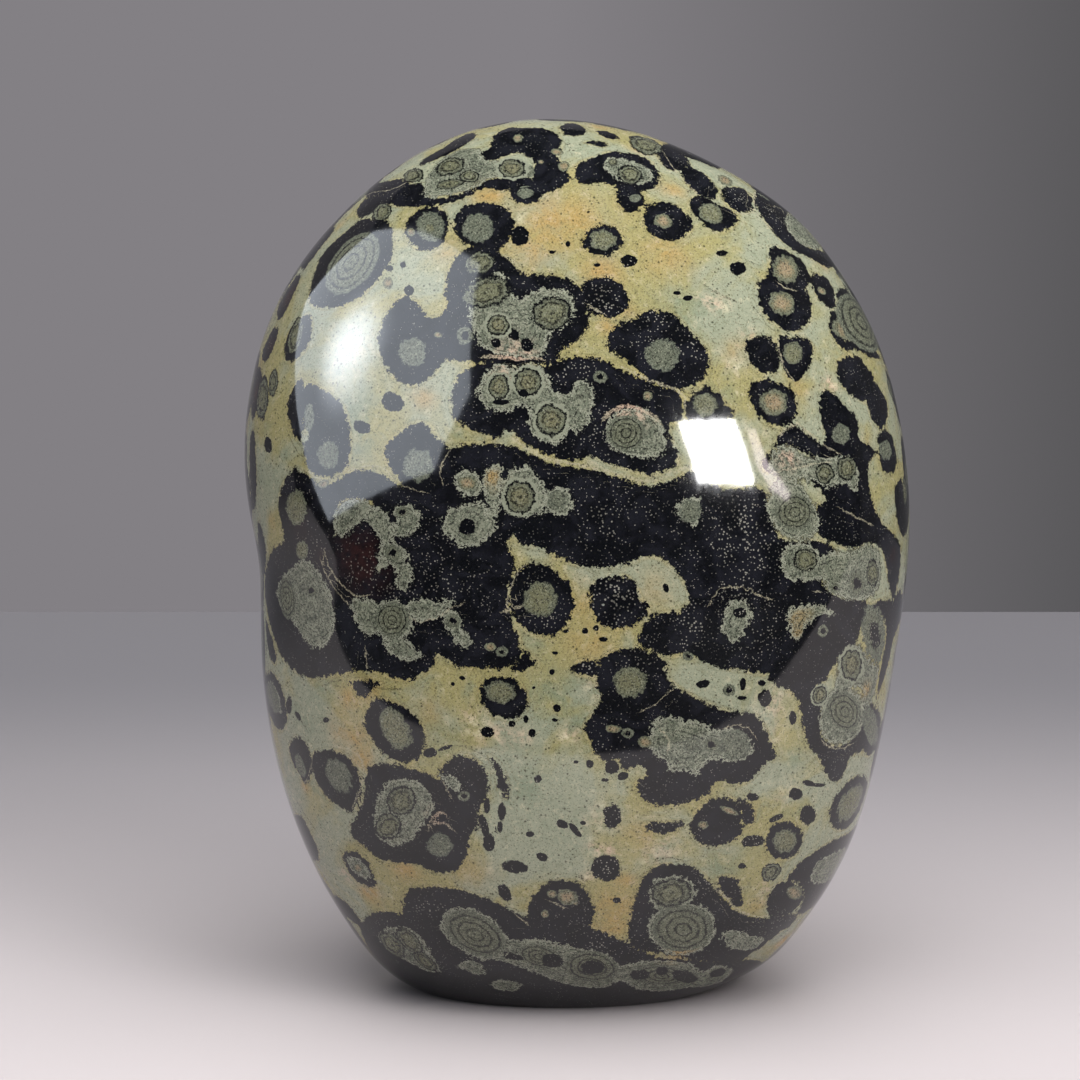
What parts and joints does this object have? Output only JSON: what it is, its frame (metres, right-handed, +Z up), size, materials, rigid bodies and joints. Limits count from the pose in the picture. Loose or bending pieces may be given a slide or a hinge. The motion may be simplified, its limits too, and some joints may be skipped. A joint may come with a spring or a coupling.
{
  "type": "kambaba jasper freeform",
  "caption": "Polished freeform stone of green and black orbicular jasper that stands upright on a small ground spot.",
  "frame": {"origin": "middle of the stone's box, on the surface that it rests on", "axes": "+Z up through the height, +X to the right and -Y out of the face that shows best"},
  "size_m": [0.1512, 0.1058, 0.1997],
  "materials": {
    "polished_stone": "polished to a high gloss, sage green with near-black orbs, pale ringed eyes and ochre patches"
  },
  "bodies": {
    "root": {"freeform_stone": "polished_stone"}
  },
  "joints": []
}
